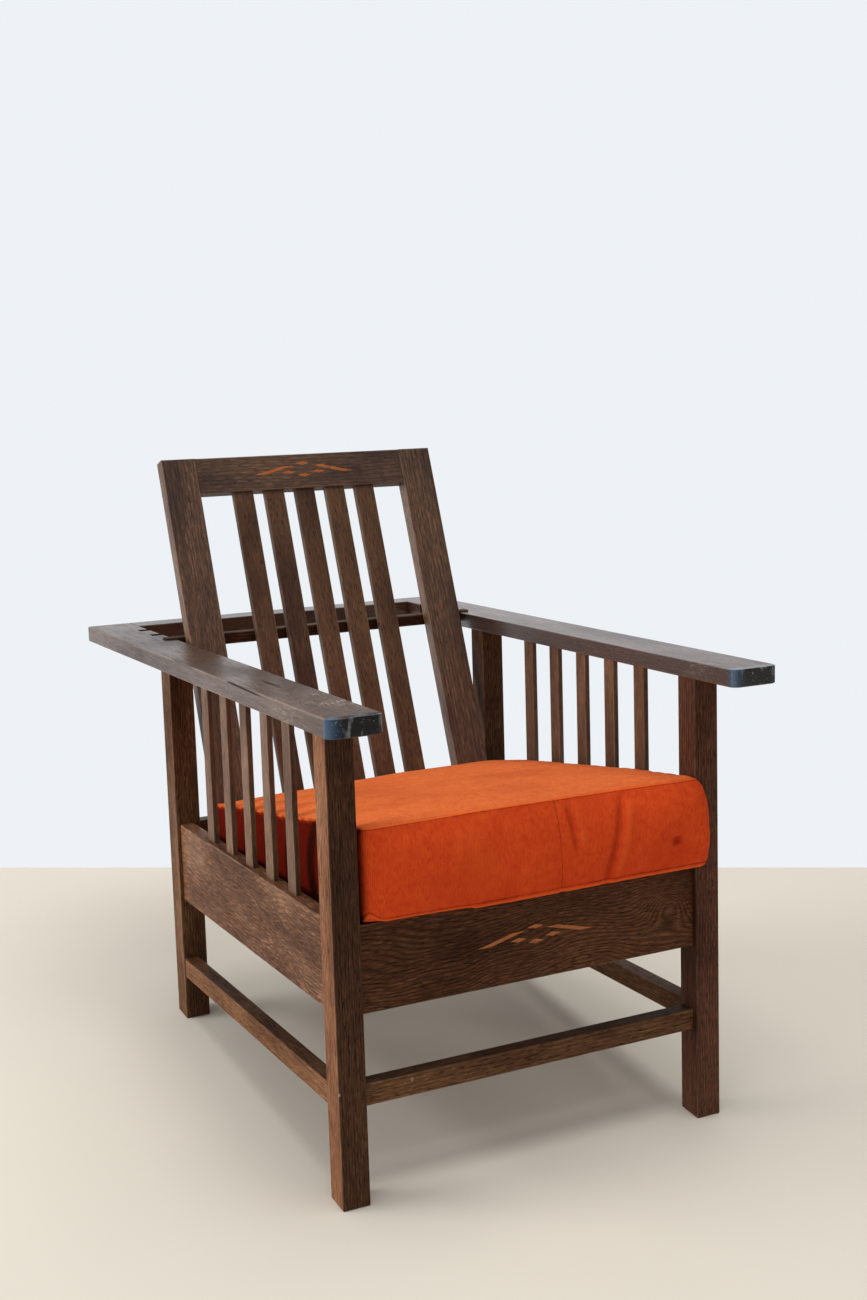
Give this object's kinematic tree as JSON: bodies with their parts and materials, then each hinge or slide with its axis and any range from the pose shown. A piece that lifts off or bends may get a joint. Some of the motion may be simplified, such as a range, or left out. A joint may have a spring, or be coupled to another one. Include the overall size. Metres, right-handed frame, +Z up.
{
  "type": "mission reclining armchair",
  "caption": "Dark slatted wooden armchair with a seat cushion, whose pivoted back leans on a loose bar set in notches along the arms.",
  "frame": {"origin": "on the floor, at the centre of the chair's width and depth", "axes": "+Z up from the floor, -Y the way the sitter faces, +X to the right of someone looking at the front; the joinery leans back 5.83 degrees about X"},
  "size_m": [0.646, 1.001, 0.8436],
  "materials": {
    "dark_wood": "dark stained open-pored hardwood with a satin lacquer",
    "deck_wood": "plain planed softwood, unfinished",
    "inlay_wood": "reddish-brown veneer under lacquer",
    "cushion_velvet": "burnt-orange fine-ribbed velvet",
    "pin_steel": "plain steel",
    "spacer_plastic": "black nylon"
  },
  "bodies": {
    "chair_frame": {"leg_front_left": "dark_wood", "leg_front_right": "dark_wood", "leg_rear_left": "dark_wood", "leg_rear_right": "dark_wood", "side_rail_left": "dark_wood", "side_rail_right": "dark_wood", "front_apron": "dark_wood", "apron_inlay": "inlay_wood", "rear_rail": "dark_wood", "front_stretcher": "dark_wood", "side_stretcher_left": "dark_wood", "side_stretcher_right": "dark_wood", "arm_left": "dark_wood", "arm_right": "dark_wood", "arm_rear_board": "dark_wood", "side_slat_left_1": "dark_wood", "side_slat_left_2": "dark_wood", "side_slat_left_3": "dark_wood", "side_slat_left_4": "dark_wood", "side_slat_left_5": "dark_wood", "side_slat_right_1": "dark_wood", "side_slat_right_2": "dark_wood", "side_slat_right_3": "dark_wood", "side_slat_right_4": "dark_wood", "side_slat_right_5": "dark_wood", "seat_cleat_left": "deck_wood", "seat_cleat_right": "deck_wood", "seat_slat_1": "deck_wood", "seat_slat_2": "deck_wood", "seat_slat_3": "deck_wood", "seat_slat_4": "deck_wood", "seat_slat_5": "deck_wood", "seat_slat_6": "deck_wood", "pivot_pin_left": "pin_steel", "pivot_pin_right": "pin_steel", "pivot_spacer_left": "spacer_plastic", "pivot_spacer_right": "spacer_plastic", "seat_cushion": "cushion_velvet"},
    "back_frame": {"back_stile_left": "dark_wood", "back_stile_right": "dark_wood", "back_top_rail": "dark_wood", "back_bottom_rail": "dark_wood", "back_slat_1": "dark_wood", "back_slat_2": "dark_wood", "back_slat_3": "dark_wood", "back_slat_4": "dark_wood", "back_slat_5": "dark_wood", "top_rail_inlay": "inlay_wood"},
    "support_bar": {"support_bar": "dark_wood"}
  },
  "joints": [
    {"name": "back_recline", "type": "hinge", "parent": "chair_frame", "child": "back_frame", "pos_m": [0, 0.08307, 0.24665], "axis": [1, 0, 0], "range_deg": [0, 4]},
    {"name": "bar_lift", "type": "slide", "parent": "chair_frame", "child": "support_bar", "axis": [0, 0.1016, 0.9948], "range_m": [0, 0.028]}
  ],
  "couplings": [
    {"joint": "bar_lift", "follows": "back_recline", "m_per_rad": 0.4}
  ]
}
